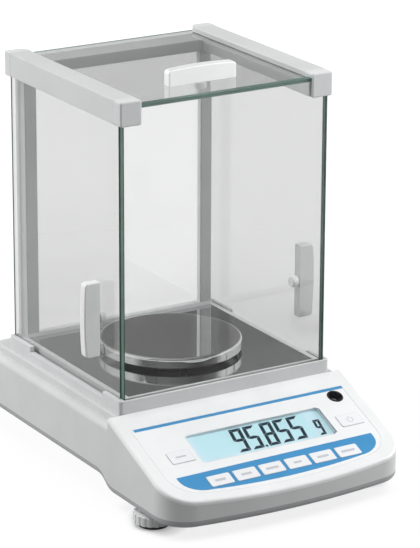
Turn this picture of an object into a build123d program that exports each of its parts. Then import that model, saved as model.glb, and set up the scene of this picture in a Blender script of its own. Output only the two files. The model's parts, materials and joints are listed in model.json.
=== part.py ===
from build123d import *
import math
import os

# Precision balance with a glass draft shield.
# Millimetres. X to the right, Y to the rear, Z up. The feet stand on Z = 0 and
# the origin is under the middle of the housing.

# Housing; the sloped panel runs from the nose to the draft shield
length = 305.0
half_width = 104.7
panel_depth = 101.0
shield_rear_margin = 27.0
nose_bow = 10.0
front_corner = 26.0
rear_corner = 12.0
wall = 2.8
tray_floor = 3.0
ledge_z = 64.4
shoulder = 4.8
underside_rear_z = 20.3
underside_front_z = 11.4
step_lead = 6.5
step_run = 24.0
tray_rim = 5.6
tray_tuck = 4.0
seat_width = 6.0
ledge_width = 12.7
panel_bridge = 8.0

# Top cover, the stepped deck that carries the draft shield
deck_z = 70.3
deck_margin = 7.1
deck_corner = 8.0
deck_edge = 1.2
deck_plate = 3.0
cover_wall = 3.5

# Sloped front panel
panel_angle = 21.85
panel_thickness = 2.8
panel_rim_round = 2.2
panel_flange = 3.0

# Keypad film and what shows through it; v is measured down the slope
film = 0.4
film_recess = 0.5
film_side_margin = 10.7
film_top_v = 17.5
film_nose_margin = 8.0
film_corner = 24.0
window_height = 30.5
window_left_margin = 37.1
window_right_margin = 32.9
window_v = 49.9
window_corner = 2.5
window_gap = 0.2
lens_thickness = 1.6
lcd_gap = 0.3
lcd_rim = 3.0
level_radius = 6.3
level_margin = 11.2
level_v = 27.2
level_wall = 1.2
level_proud = 0.2
level_depth = 5.0
level_dome = 0.6
key_width = 19.4
key_height = 11.0
key_pitch = 22.6
key_count = 6
key_row_x = 2.3
key_row_rise = 23.2
side_key_width = 19.5
side_key_height = 12.2
left_key_margin = 23.0
left_key_v = 54.5
power_key_margin = 14.4
power_key_v = 54.6
key_corner = 1.2
key_proud = 0.4
key_travel = 0.4
key_gap = 0.25
key_flange = 0.8
key_flange_width = 1.2
key_stem_radius = 2.5

# Display board and its switches
display_board_drop = 9.0
display_board_margin = 12.7
display_board_top_v = 26.0
display_board_rise = 14.8
display_screw_inset = 4.0
display_screw_top = 14.0
display_screw_low = 24.0
display_post_radius = 3.2
switch_width = 6.0
switch_body = 3.2
switch_height = 4.0
switch_button_radius = 1.75

# Draft shield; insets are from the side of its frame
frame_margin = 3.9
frame_height = 10.7
frame_corner = 3.0
frame_edge = 0.8
frame_wall = 16.0
frame_front_sill = 12.0
frame_rear_sill = 15.5
sill_rise = 3.2
lip_drop = 4.2
lip_edge = 0.8
corner_block = 27.0
rear_block = 35.0
glass = 5.0
glass_edge = 0.5
door_glass = 3.0
door_glass_edge = 0.4
door_inset = 5.3
door_clearance = 0.3
door_rear_gap = 1.5
track_depth = 7.0
glass_seat = 1.5
front_glass_y = 3.9
front_glass_inset = 4.6
plate_thickness = 1.2
plate_proud = 0.1
plate_inset = 11.3
plate_front = 9.3
plate_gap = 0.2
plate_hole_radius = 12.0
rail_width = 18.0
rail_height = 18.7
rail_inset = 1.55
rail_edge = 0.8
rail_overhang = 3.4
shield_height = 230.9
rail_groove_depth = 3.9
rail_track_depth = 5.0
front_cap_length = 10.0
front_cap_lead = 0.3
front_cap_round = 1.8
front_cap_edge = 1.4
cap_proud = 0.2
rear_cap_length = 9.0
rear_cap_round = 7.0
rear_cap_edge = 1.2
top_glass_drop = 5.9
top_glass_overhang = 1.6
post_inset = 10.2
post_width = 10.7
post_round = 1.0
bar_depth = 22.0
bar_height = 9.5
bar_edge = 0.8
rear_glass_grip = 2.0
rear_glass_lip = 5.0
rear_glass_lap = 7.0

# Door handles and their inner knobs
handle_length = 59.0
handle_reach = 13.3
handle_depth = 8.0
handle_front = 36.5
handle_corner = 3.0
handle_crown = 1.2
handle_edge = 1.2
side_handle_z = 54.0
knob_radius = 4.5
knob_length = 5.0
knob_edge = 1.0
stem_radius = 2.0
stem_hole_gap = 0.5

# Weighing pan and what carries it
pan_radius = 55.0
pan_setback = 4.6
pan_top_z = 92.4
pan_rim = 7.8
pan_sheet = 1.2
pan_round = 2.2
hub_radius = 11.0
hub_bore = 6.0
hub_roof = 1.5
pan_seat_depth = 6.0
post_radius = 8.0
arm_width = 34.0
arm_thickness = 5.0
arm_corner = 4.0
arm_top_z = 61.0
beam_length = 130.0
beam_width = 30.0
beam_height = 22.0
beam_bottom_z = 31.0
beam_bore = 7.0
beam_bore_spacing = 14.0
beam_slot = 3.0
beam_end = 35.0
beam_screw_near = 10.0
beam_screw_far = 25.0
beam_screw_depth = 8.0
beam_screw_head = 1.5
load_travel = 0.3
load_margin = 0.05

# Feet
front_foot_inset = 11.7
front_foot_margin = 53.0
rear_foot_inset = 49.7
rear_foot_margin = 24.5
wheel_radius = 15.3
wheel_bottom_z = 3.4
wheel_top_z = 10.2
flute_count = 18
flute_radius = 1.6
flute_setback = 0.9
pad_radius = 12.0
pad_height = 3.1
pad_edge = 0.6
pad_floor = 1.2
stud_radius = 4.0
stud_top_z = 28.0
stud_clearance = 0.07
insert_radius = 6.0
insert_top_z = 30.0
boss_radius = 9.0
foot_boss_top_z = 34.0
pivot_radius = 3.0
pivot_gap = 0.3
pivot_clearance = 0.08

# Main board and rear connectors
board = 1.6
board_gap = 0.5
main_board_inset = 43.7
main_board_width = 60.0
main_board_length = 109.2
main_board_z = 36.0
main_post_radius = 3.5
main_post_inset = 5.0
main_post_rear = 48.0
chip_width = 20.0
chip_height = 3.0
chip_x = 12.0
chip_y = 20.0
capacitor_radius = 5.0
capacitor_height = 12.0
capacitor_x = 45.0
capacitor_y = 28.0
capacitor_pitch = 14.0
jack_inset = 59.7
jack_width = 9.0
jack_height = 11.0
jack_length = 13.8
jack_bore = 3.1
jack_pin = 1.0
jack_pin_setback = 1.3
jack_depth = 9.0
serial_inset = 32.7
serial_flange_width = 30.8
serial_flange_height = 12.5
serial_flange = 1.0
serial_body_width = 18.0
serial_body_length = 10.0
serial_body_top = 5.0
serial_shell_width = 18.6
serial_shell_height = 9.8
serial_shell_slope = 1.7
serial_shell_round = 2.0
serial_contact_pitch = 2.76
serial_row_pitch = 2.84
serial_contact_radius = 0.55
serial_contact_depth = 4.8
port_clearance = 0.2
port_setback = 0.2

# Screws
screw_radius = 1.7
screw_head = 3.4
screw_head_height = 2.4
screw_head_gap = 0.4
screw_sink = 0.2
screw_bore_gap = 0.05
screw_boss = 4.2
screw_boss_gap = 1.0
screw_inset = 7.1
front_screw_margin = 76.5
rear_screw_margin = 52.5
side_screw_pitch = 80.0
housing_screw_length = 20.0
housing_screw_hole = 24.0
board_screw = 1.2
board_screw_head = 2.4
board_screw_head_height = 1.4
board_screw_length = 7.0

# Fits and cuts
fit = 0.05
seat_gap = 0.1
cut_over = 1.0
big = 400.0

nose_y = -length / 2
rear_y = length / 2
shield_y = nose_y + panel_depth
shield_rear_y = rear_y - shield_rear_margin
frame_depth = shield_rear_y - shield_y
step_front_y = shield_y - step_lead
step_rear_y = step_front_y + step_run
panel_slope = panel_depth / math.cos(math.radians(panel_angle))

deck_half_width = half_width - deck_margin
frame_half_width = deck_half_width - frame_margin
frame_top_z = deck_z + frame_height
frame_inner_half_width = frame_half_width - frame_wall
door_glass_x = frame_half_width - door_inset
front_glass_half_width = frame_half_width - front_glass_inset
plate_half_width = frame_half_width - plate_inset
plate_z = frame_top_z - plate_thickness
post_outer = frame_half_width - post_inset
post_inner = post_outer - post_width
rail_outer = frame_half_width - rail_inset
rail_inner = rail_outer - rail_width
rail_top_z = frame_top_z + shield_height
rail_bottom_z = rail_top_z - rail_height
rail_rear_y = shield_rear_y + rail_overhang
top_glass_z = rail_top_z - top_glass_drop
door_front_y = shield_y + front_glass_y + glass / 2 + door_clearance
handle_y = shield_y + handle_front + handle_depth / 2
groove = door_glass + 2 * door_clearance
pan_y = (shield_y + shield_rear_y) / 2 - pan_setback
load_gap = load_travel + load_margin

film_half_width = half_width - film_side_margin
window_width = 2 * film_half_width - window_left_margin - window_right_margin
window_x = (window_left_margin - window_right_margin) / 2
level_x = film_half_width - level_margin
key_row_v = panel_slope - key_row_rise
left_key_x = left_key_margin - film_half_width
power_key_x = film_half_width - power_key_margin
display_board_half_width = half_width - display_board_margin
display_board_low_v = panel_slope - display_board_rise
switch_top = switch_height - display_board_drop

front_foot_x = half_width - front_foot_inset
rear_foot_x = half_width - rear_foot_inset
front_foot_y = nose_y + front_foot_margin
rear_foot_y = rear_y - rear_foot_margin
main_board_x = half_width - main_board_inset
main_board_rear = rear_y - wall - board_gap
main_board_front = main_board_rear - main_board_length
board_top_z = main_board_z + board
jack_x = half_width - jack_inset
jack_z = board_top_z + jack_height / 2
serial_x = half_width - serial_inset
serial_z = board_top_z + serial_flange_height / 2
screw_bore = screw_radius + screw_bore_gap
board_screw_bore = board_screw + screw_bore_gap

panel_plane = Plane(
    origin=(0, shield_y, deck_z),
    x_dir=(1, 0, 0),
    z_dir=(0, -math.sin(math.radians(panel_angle)), math.cos(math.radians(panel_angle))),
)


def box(x0, x1, y0, y1, z0, z1):
    """Block between two corners."""
    centre = Pos((x0 + x1) / 2, (y0 + y1) / 2, (z0 + z1) / 2)
    return centre * Box(x1 - x0, y1 - y0, z1 - z0)


def upright(x, y, z0, z1, radius):
    """Round bar along Z."""
    return Pos(x, y, (z0 + z1) / 2) * Cylinder(radius, z1 - z0)


def along_x(x0, x1, y, z, radius):
    """Round bar along X."""
    return Pos((x0 + x1) / 2, y, z) * Rot(0, 90, 0) * Cylinder(radius, x1 - x0)


def along_y(x, y0, y1, z, radius):
    """Round bar along Y."""
    return Pos(x, (y0 + y1) / 2, z) * Rot(90, 0, 0) * Cylinder(radius, y1 - y0)


def on_panel(x, v, z0, z1, shape):
    """Sketch pushed out between two heights above the panel's top face."""
    placed = panel_plane * Pos(x, -v, z0) * shape
    return extrude(placed, amount=z1 - z0, dir=panel_plane.z_dir)


def through_panel(x, v, shape):
    """Cut through the panel and everything fixed to it."""
    return on_panel(x, v, -2 * display_board_drop, cut_over, shape)


def mirrored(shape):
    """The same shape on the other side of the middle plane."""
    return mirror(shape, about=Plane.YZ)


def plan(inset):
    """Outline of the housing seen from above, moved in by inset."""
    x = half_width - inset
    back = rear_y - inset
    front = nose_y + inset
    side_front = front + nose_bow
    nose = ThreePointArc((-x, side_front), (0, front), (x, side_front))
    sides = Polyline((x, side_front), (x, back), (-x, back), (-x, side_front))
    face = make_face(nose + sides)
    corners = face.vertices().sort_by(Axis.Y)
    face = fillet(corners[:2], front_corner - inset)
    corners = face.vertices().sort_by(Axis.Y)
    return fillet(corners[-2:], rear_corner - inset)


def above_underside(lift):
    """Everything above the stepped underside raised by lift."""
    rear_z = underside_rear_z + lift
    front_z = underside_front_z + lift
    middle = ((step_rear_y + step_front_y) / 2, (rear_z + front_z) / 2)
    upper = TangentArc((step_rear_y, rear_z), middle, tangent=(-1, 0))
    lower = TangentArc((step_front_y, front_z), middle, tangent=(1, 0))
    rest = Polyline(
        (step_rear_y, rear_z), (big, rear_z), (big, big),
        (-big, big), (-big, front_z), (step_front_y, front_z),
    )
    side = make_face(rest + upper + lower)
    return extrude(Plane.YZ * side, amount=big, both=True)


def underside_z(y):
    """Height of the underside's flat part at y."""
    return underside_front_z if y < step_front_y else underside_rear_z


def seat_z(y):
    """Height at y of the sloped seat under the front panel."""
    drop = panel_thickness / math.cos(math.radians(panel_angle))
    return deck_z - drop + (y - shield_y) * math.tan(math.radians(panel_angle))


def below_seat(drop):
    """Everything below the sloped panel seat and in front of the shield, lowered by drop."""
    corners = [
        (shield_y, -big), (shield_y, seat_z(shield_y) - drop),
        (-big, seat_z(-big) - drop), (-big, -big), (shield_y, -big),
    ]
    return extrude(Plane.YZ * make_face(Polyline(*corners)), amount=big, both=True)


def is_cross_edge(edge):
    """True for an edge that runs straight across the housing at one place along it."""
    size = edge.bounding_box().size
    return edge.geom_type == GeomType.LINE and size.Y < fit and edge.center().Y < rear_y - wall


def standing_block(top):
    """The housing's outline standing on the stepped underside, with the tucked lower rim."""
    block = extrude(plan(0), amount=top) & above_underside(0)
    low = block.edges().filter_by(lambda e: e.bounding_box().max.Z < underside_rear_z + fit)
    return fillet([e for e in low if not is_cross_edge(e)], tray_tuck)


def housing_block():
    """The housing and tray together as one rounded block."""
    rear = standing_block(ledge_z)
    rear = fillet(rear.faces().sort_by(Axis.Z)[-1].edges(), shoulder)
    front = standing_block(deck_z) & below_seat(0)
    return (rear & box(-big, big, shield_y, big, 0, big)) + front


def housing_shell():
    """Hollow housing and tray with walls and a floor."""
    inside = extrude(plan(wall), amount=deck_z) & above_underside(tray_floor)
    rear = inside & box(-big, big, shield_y - cut_over, big, 0, ledge_z - panel_flange)
    return housing_block() - rear - (inside & below_seat(panel_flange))


def housing_screw_spots():
    """Three screws along each side."""
    x = half_width - screw_inset
    rear = rear_y - rear_screw_margin
    rows = (nose_y + front_screw_margin, rear - side_screw_pitch, rear)
    return [(side * x, y) for side in (-1, 1) for y in rows]


def foot_spots():
    """The four feet, front left first and counter-clockwise from above."""
    front = [(-front_foot_x, front_foot_y), (front_foot_x, front_foot_y)]
    return front + [(rear_foot_x, rear_foot_y), (-rear_foot_x, rear_foot_y)]


def base_tray():
    """Cast bottom tray with the tucked rim, foot bosses and screw recesses."""
    tray = housing_shell() - above_underside(tray_rim)
    inside = extrude(plan(wall), amount=big)
    for x, y in foot_spots():
        tray += upright(x, y, underside_z(y), foot_boss_top_z, boss_radius) & inside
        tray -= upright(x, y, 0, foot_boss_top_z + cut_over, insert_radius)
    for x, y in housing_screw_spots():
        low = underside_z(y)
        tray -= upright(x, y, low - cut_over, low + screw_head_height, screw_head + screw_head_gap)
        tray -= upright(x, y, low, low + tray_floor + cut_over, screw_bore)
    floor = underside_rear_z + tray_floor
    for x, y in main_board_posts():
        tray += upright(x, y, floor - cut_over, main_board_z, main_post_radius)
        tray -= upright(x, y, floor, main_board_z + cut_over, board_screw_bore)
    for x, y in beam_screw_spots():
        sunk = underside_rear_z + beam_screw_head + seat_gap
        tray -= upright(x, y, underside_rear_z - cut_over, sunk, screw_head + screw_head_gap)
        tray -= upright(x, y, underside_rear_z, floor + cut_over, screw_bore)
    return tray


def screw_boss_top(y):
    """Top of a housing screw's boss at y."""
    if y > shield_y:
        return ledge_z - screw_boss_gap
    return seat_z(y - screw_boss) - screw_boss_gap


def housing():
    """Grey moulded housing wall with the rounded shoulder and the panel seat."""
    shell = housing_shell() & above_underside(tray_rim)
    opening_x = half_width - ledge_width
    shell -= box(-opening_x, opening_x, shield_y + seat_width, rear_y - ledge_width, main_board_z, big)
    panel_opening = extrude(plan(wall + seat_width), amount=big)
    shell -= panel_opening - box(-big, big, shield_y - panel_bridge, big, 0, big)
    inside = extrude(plan(wall / 2), amount=ledge_z - screw_boss_gap) & above_underside(tray_floor)
    for x, y in housing_screw_spots():
        shell += upright(x, y, underside_front_z, screw_boss_top(y), screw_boss) & inside
        shell -= upright(x, y, 0, underside_rear_z + housing_screw_hole, screw_bore)
    shell -= rear_port(jack_x, jack_z, jack_width, jack_height)
    return shell - rear_port(serial_x, serial_z, serial_shell_width, serial_shell_height)


def rear_port(x, z, width, height):
    """Cut through the rear wall for a connector."""
    half = width / 2 + port_clearance
    tall = height / 2 + port_clearance
    return box(x - half, x + half, rear_y - wall - cut_over, rear_y + cut_over, z - tall, z + tall)


def top_cover():
    """Stepped deck that drops into the housing's ledge and carries the shield."""
    deck_rear = rear_y - deck_margin
    depth = deck_rear - shield_y
    outline = Pos(0, shield_y + depth / 2) * Rectangle(2 * deck_half_width, depth)
    outline = fillet(outline.vertices().sort_by(Axis.Y)[-2:], deck_corner)
    block = extrude(Pos(0, 0, ledge_z) * outline, amount=deck_z - ledge_z)
    rim = [e for e in block.faces().sort_by(Axis.Z)[-1].edges() if e.center().Y > shield_y + cut_over]
    block = fillet(rim, deck_edge)
    block &= box(-big, big, shield_y + panel_flange / 2, big, 0, big)
    inner = deck_half_width - cover_wall
    front = shield_y + panel_flange / 2 + cover_wall
    block -= box(-inner, inner, front, deck_rear - cover_wall, 0, deck_z - deck_plate)
    return block - upright(0, pan_y, 0, big, plate_hole_radius)


def bowed_outline(x, front_margin, back_v, corner):
    """Sketch on the panel that follows the bowed nose; y runs up the slope."""
    front = panel_slope - front_margin
    side_front = front - nose_bow / math.cos(math.radians(panel_angle))
    nose = ThreePointArc((-x, -side_front), (0, -front), (x, -side_front))
    sides = Polyline((x, -side_front), (x, -back_v), (-x, -back_v), (-x, -side_front))
    face = make_face(nose + sides)
    return fillet(face.vertices().sort_by(Axis.Y)[:2], corner)


def key_spots():
    """Name, x, v, width and height of every key."""
    first = key_row_x - key_pitch * (key_count - 1) / 2
    row = []
    for i in range(key_count):
        row.append(("key_%d" % (i + 1), first + i * key_pitch, key_row_v, key_width, key_height))
    row.append(("left_key", left_key_x, left_key_v, side_key_width, side_key_height))
    row.append(("power_key", power_key_x, power_key_v, side_key_width, side_key_height))
    return row


def key_outline(width, height, grow):
    """Rounded outline of a key, or of its hole when grown."""
    return RectangleRounded(width + 2 * grow, height + 2 * grow, key_corner + grow)


def window_outline(shrink):
    """Rounded outline of the display window, moved in by shrink."""
    corner = window_corner - shrink
    return RectangleRounded(window_width - 2 * shrink, window_height - 2 * shrink, corner)


def cut_panel_openings(sheet):
    """Cuts the window, the level's hole and the key holes through a sheet."""
    sheet -= through_panel(window_x, window_v, window_outline(0))
    sheet -= through_panel(level_x, level_v, Circle(level_radius + key_gap))
    for name, x, v, width, height in key_spots():
        sheet -= through_panel(x, v, key_outline(width, height, key_gap))
    return sheet


def front_panel():
    """White sloped panel with a rounded rim, the film's recess, its openings and board posts."""
    slab = panel_plane * Pos(0, 0, -panel_thickness / 2) * Box(big, big, panel_thickness)
    panel = extrude(plan(0), amount=big) & slab & box(-big, big, -big, shield_y, 0, big)
    flat = panel.faces().filter_by(GeomType.PLANE)
    top = [f for f in flat if f.normal_at().dot(panel_plane.z_dir) > 0.99][0]
    rim = [e for e in top.edges() if e.center().Y < shield_y - cut_over]
    panel = fillet(rim, panel_rim_round)
    recess = bowed_outline(
        film_half_width + key_gap, film_nose_margin - key_gap, film_top_v - key_gap, film_corner
    )
    panel -= on_panel(0, 0, -film_recess, cut_over, recess)
    panel = cut_panel_openings(panel)
    for x, v in display_screw_spots():
        panel += on_panel(x, v, -display_board_drop, film - panel_thickness, Circle(display_post_radius))
        blind = -panel_thickness - board_screw
        panel -= on_panel(x, v, -display_board_drop - cut_over, blind, Circle(board_screw_bore))
    return panel


def keypad_overlay():
    """Printed film in the panel's recess, with holes for the keys, window and level."""
    sheet = bowed_outline(film_half_width, film_nose_margin, film_top_v, film_corner)
    return cut_panel_openings(on_panel(0, 0, -film_recess, film - film_recess, sheet))


def key(x, v, width, height):
    """One key: a proud cap, a flange behind the panel and a stem over its switch."""
    seat = -panel_thickness - key_gap
    flange_low = seat - key_flange
    cap = on_panel(x, v, seat, key_proud + film - film_recess, key_outline(width, height, 0))
    plate = Rectangle(width + 2 * key_flange_width, height + 2 * key_flange_width)
    flange = on_panel(x, v, flange_low, seat, plate)
    stem = on_panel(x, v, switch_top + key_travel + fit, flange_low, Circle(key_stem_radius))
    return cap + flange + stem


def tact_switches():
    """The switches on the display board, one under each key."""
    parts = []
    shoulder_z = switch_body - display_board_drop
    for name, x, v, width, height in key_spots():
        body = on_panel(x, v, -display_board_drop, shoulder_z, Rectangle(switch_width, switch_width))
        parts.append(body + on_panel(x, v, shoulder_z, switch_top, Circle(switch_button_radius)))
    return Compound(children=parts)


def display_screw_spots():
    """Places of the display board's screws on the panel, x and v."""
    x = display_board_half_width - display_screw_inset
    rows = (display_board_top_v + display_screw_top, display_board_low_v - display_screw_low)
    return [(side * x, v) for side in (-1, 1) for v in rows]


def display_board():
    """Circuit board that carries the display and the switches."""
    low = -display_board_drop - board
    middle_v = (display_board_top_v + display_board_low_v) / 2
    sheet = Rectangle(2 * display_board_half_width, display_board_low_v - display_board_top_v)
    plate = on_panel(0, middle_v, low, -display_board_drop, sheet)
    for x, v in display_screw_spots():
        plate -= on_panel(x, v, low - cut_over, 0, Circle(board_screw_bore))
    return plate


def lcd_module():
    """Display glass in its carrier, standing on the display board."""
    carrier = RectangleRounded(window_width + 2 * lcd_rim, window_height + 2 * lcd_rim, board_gap)
    body = on_panel(window_x, window_v, -display_board_drop, -panel_thickness, carrier)
    under_lens = -film_recess - lens_thickness - lcd_gap
    return body + on_panel(window_x, window_v, -panel_thickness, under_lens, window_outline(2 * window_gap))


def lcd_lens():
    """Clear window over the display, flush with the film."""
    under = -film_recess - lens_thickness
    return on_panel(window_x, window_v, under, film - film_recess, window_outline(window_gap))


def level_cup():
    """Black cup of the bubble level, let into the panel."""
    cup = on_panel(level_x, level_v, -display_board_drop, level_proud, Circle(level_radius))
    return cup - on_panel(level_x, level_v, -level_depth, level_depth, Circle(level_radius - level_wall))


def level_vial():
    """Clear vial with a low dome inside the cup."""
    vial = on_panel(level_x, level_v, -level_depth, fit, Circle(level_radius - level_wall - fit))
    upward = Axis(panel_plane.origin, panel_plane.z_dir)
    edge = vial.edges().filter_by(GeomType.CIRCLE).sort_by(upward)[-1]
    return fillet(edge, level_dome)


def sill_y():
    """Front of the raised rear sill, where the chamber floor ends."""
    return shield_rear_y - frame_rear_sill


def door_track(y0, y1, z0, z1):
    """Right-hand track that the side door's pane runs in."""
    return box(door_glass_x - groove / 2, door_glass_x + groove / 2, y0, y1, z0, z1)


def front_glass_block(grow, low, high):
    """The fixed front pane between two heights, or its seat when grown."""
    x = front_glass_half_width + grow
    y = shield_y + front_glass_y
    return box(-x, x, y - glass / 2 - grow, y + glass / 2 + grow, low, high)


def rear_glass_block(grow):
    """The rear pane, or the groove for its top edge when grown."""
    x = post_inner + rear_glass_lap + grow
    y = sill_y() + rear_glass_lip
    return box(-x, x, y - grow, y + glass + grow, frame_top_z, rail_bottom_z + rear_glass_grip + grow)


def rear_rebate():
    """Step in the posts and the sill that the rear pane is put into from behind."""
    x = post_inner + rear_glass_lap + seat_gap
    return box(-x, x, sill_y() + rear_glass_lip - seat_gap, big, frame_top_z, big)


def shield_frame():
    """Tracked frame of the draft shield with door grooves and a raised rear sill."""
    middle = (shield_y + shield_rear_y) / 2
    outline = Pos(0, middle) * RectangleRounded(2 * frame_half_width, frame_depth, frame_corner)
    ring = extrude(Pos(0, 0, deck_z) * outline, amount=frame_height)
    ring = fillet(ring.faces().sort_by(Axis.Z)[-1].edges(), frame_edge)
    sill_top = frame_top_z + sill_rise
    ring += box(-post_outer, post_outer, sill_y(), shield_rear_y, frame_top_z - frame_edge, sill_top)
    inner = frame_inner_half_width
    ring -= box(-inner, inner, shield_y + frame_front_sill, sill_y(), 0, frame_top_z)
    # Seat of the chamber plate
    seat = plate_half_width + plate_gap
    seat_front = shield_y + plate_front - plate_gap
    ring -= box(-seat, seat, seat_front, sill_y(), plate_z, frame_top_z + cut_over)
    # Door tracks and their lowered outer lips
    track_front = shield_y + front_glass_y + glass / 2 + seat_gap
    track = door_track(track_front, shield_rear_y + cut_over, frame_top_z - track_depth, big)
    lip = box(
        door_glass_x, frame_half_width + cut_over, shield_y + corner_block, shield_rear_y - rear_block,
        frame_top_z - lip_drop, big,
    )
    ring = ring - track - mirrored(track) - lip - mirrored(lip)
    ring -= front_glass_block(seat_gap, frame_top_z - glass_seat, big)
    ring -= rear_rebate()
    return fillet([e for e in ring.edges().filter_by(Axis.Y) if is_lip_edge(e)], lip_edge)


def is_lip_edge(edge):
    """True for the outer top edge of a lowered lip."""
    middle = edge.center()
    outside = abs(middle.X) > frame_half_width - fit
    return outside and abs(middle.Z - frame_top_z + lip_drop) < fit


def chamber_plate():
    """Bright plate on the chamber floor with the hole for the pan's post."""
    x = plate_half_width
    plate = box(-x, x, shield_y + plate_front, sill_y() - plate_gap, plate_z, frame_top_z + plate_proud)
    return plate - upright(0, pan_y, 0, big, plate_hole_radius)


def rail_slots(y0, y1):
    """The top door's groove and the side door's track in the right-hand rail and caps."""
    low = top_glass_z - groove / 2
    slot = box(0, rail_inner + rail_groove_depth, y0, y1, low, low + groove)
    return slot + door_track(y0, y1, 0, rail_bottom_z + rail_track_depth)


def right_rail():
    """Aluminium rail on the right, between its caps."""
    y0 = shield_y + front_cap_length - front_cap_lead
    y1 = rail_rear_y - rear_cap_length
    bar = box(rail_inner, rail_outer, y0, y1, rail_bottom_z, rail_top_z)
    bar = fillet(bar.edges().filter_by(Axis.Y), rail_edge)
    return bar - rail_slots(y0 - cut_over, y1 + cut_over) - rear_glass_block(seat_gap)


def front_cap():
    """Moulded cap on the rail's front end that clasps the front pane's corner."""
    y0 = shield_y - front_cap_lead
    y1 = y0 + front_cap_length
    side = cap_proud / 2
    cap = box(rail_inner - side, rail_outer + side, y0, y1, rail_bottom_z - cap_proud, rail_top_z + cap_proud)
    cap = fillet(cap.edges().filter_by(Axis.Y), front_cap_round)
    cap = fillet(cap.faces().sort_by(Axis.Y)[0].edges(), front_cap_edge)
    cap -= rail_slots(shield_y + front_glass_y + glass / 2 + seat_gap, y1 + cut_over)
    return cap - front_glass_block(seat_gap, 0, top_glass_z + glass / 2 + seat_gap)


def rear_cap():
    """Rounded cap on the rail's rear end, open where the doors run out."""
    y0 = rail_rear_y - rear_cap_length
    side = cap_proud / 2
    cap = box(rail_inner, rail_outer + side, y0, rail_rear_y, rail_bottom_z, rail_top_z + side)
    outer = cap.edges().filter_by(Axis.Z).sort_by(Axis.X)[-2:].sort_by(Axis.Y)[-1]
    cap = fillet(outer, rear_cap_edge)
    inner = cap.edges().filter_by(Axis.Z).sort_by(Axis.X)[:2].sort_by(Axis.Y)[-1]
    cap = fillet(inner, rear_cap_round)
    # Square foot of the rounded corner, flush with the end of the cross bar
    bar_top = rail_bottom_z + bar_height
    cap += box(rail_inner, rail_inner + rear_cap_round, y0, rail_rear_y, rail_bottom_z, bar_top)
    return cap - rail_slots(y0 - cut_over, big) - rear_glass_block(seat_gap)


def rear_bar():
    """Cross bar between the rails over the rear pane."""
    front = rail_rear_y - bar_depth
    bar = box(-rail_inner, rail_inner, front, rail_rear_y, rail_bottom_z, rail_bottom_z + bar_height)
    return fillet(bar.edges().filter_by(Axis.X), bar_edge) - rear_glass_block(seat_gap)


def rear_post():
    """Right-hand rear post from the sill to the rail."""
    post = box(post_inner, post_outer, sill_y(), shield_rear_y, frame_top_z + sill_rise, rail_bottom_z)
    return fillet(post.edges().filter_by(Axis.Z), post_round) - rear_rebate()


def bevelled(pane, axis, edge):
    """Grinds the edges of a pane that run along an axis."""
    return chamfer(pane.edges().filter_by(axis), edge)


def front_glass():
    """Fixed front pane, held by the sill and the front caps."""
    pane = front_glass_block(0, frame_top_z - glass_seat, top_glass_z + glass / 2)
    return bevelled(pane, Axis.Z, glass_edge)


def side_glass():
    """Right-hand sliding pane with the hole for its knob's stem."""
    low = frame_top_z - track_depth + door_clearance
    high = rail_bottom_z + rail_track_depth - door_rear_gap
    x = door_glass_x
    half = door_glass / 2
    pane = box(x - half, x + half, door_front_y, shield_rear_y - door_rear_gap, low, high)
    hole = along_x(0, big, handle_y, frame_top_z + side_handle_z, stem_radius + stem_hole_gap)
    return bevelled(pane, Axis.Z, door_glass_edge) - hole


def top_glass():
    """Sliding top pane with the hole for its knob's stem."""
    x = rail_inner + rail_groove_depth - door_clearance
    z = top_glass_z
    half = door_glass / 2
    pane = box(-x, x, door_front_y, rail_rear_y + top_glass_overhang, z - half, z + half)
    hole = upright(0, handle_y, 0, big, stem_radius + stem_hole_gap)
    return bevelled(pane, Axis.X, door_glass_edge) - hole


def handle():
    """Door handle standing along Z on a face at X = 0, reaching to +X."""
    half = handle_length / 2
    end_reach = handle_reach - handle_crown
    outer = ThreePointArc((end_reach, -half), (handle_reach, 0), (end_reach, half))
    side = make_face(outer + Polyline((end_reach, half), (0, half), (0, -half), (end_reach, -half)))
    side = fillet(side.vertices().sort_by(Axis.X)[-2:], handle_corner)
    bar = extrude(Plane.XZ * side, amount=handle_depth / 2, both=True)
    ends = bar.faces().filter_by(Axis.Y)
    bar = fillet([e for f in ends for e in f.edges() if e.center().X > fit], handle_edge)
    return bar - along_x(-cut_over, handle_reach / 2, 0, 0, stem_radius + fit)


def knob():
    """Inner knob on the pane's other face, with its stem through the glass."""
    face = -door_glass
    head = along_x(face - knob_length, face, 0, 0, knob_radius)
    rim = head.edges().filter_by(GeomType.CIRCLE).sort_by(Axis.X)[0]
    stem = along_x(face, handle_reach / 2 - door_clearance, 0, 0, stem_radius)
    return fillet(rim, knob_edge) + stem


def on_right_door(shape):
    """Places a handle or knob on the right pane's outer face."""
    return Pos(door_glass_x + door_glass / 2, handle_y, frame_top_z + side_handle_z) * shape


def on_top_door(shape):
    """Places a handle or knob on the top pane's upper face."""
    return Pos(0, handle_y, top_glass_z + door_glass / 2) * Rot(0, -90, 0) * shape


def pan():
    """Round weighing pan: a dished sheet with a turned-down rim and a hub below."""
    r = pan_radius
    top = pan_top_z
    low = top - pan_rim
    under = top - pan_sheet
    flat_end = r - pan_round
    dish = Polyline((0, top), (flat_end, top))
    round_over = TangentArc((flat_end, top), (r, top - pan_round), tangent=(1, 0))
    rim = Polyline(
        (r, top - pan_round), (r, low), (r - pan_sheet, low), (r - pan_sheet, under), (0, under), (0, top)
    )
    sheet = revolve(Plane.XZ * make_face(dish + round_over + rim), Axis.Z)
    hub = upright(0, 0, under - pan_seat_depth, under, hub_radius)
    hub -= upright(0, 0, 0, under - hub_roof, hub_bore + fit)
    return Pos(0, pan_y) * (sheet + hub)


def arm_screw_spots():
    """Two screws over the beam's free end."""
    front = pan_y - beam_length / 2
    return [(0, front + beam_screw_near), (0, front + beam_screw_far)]


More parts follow.
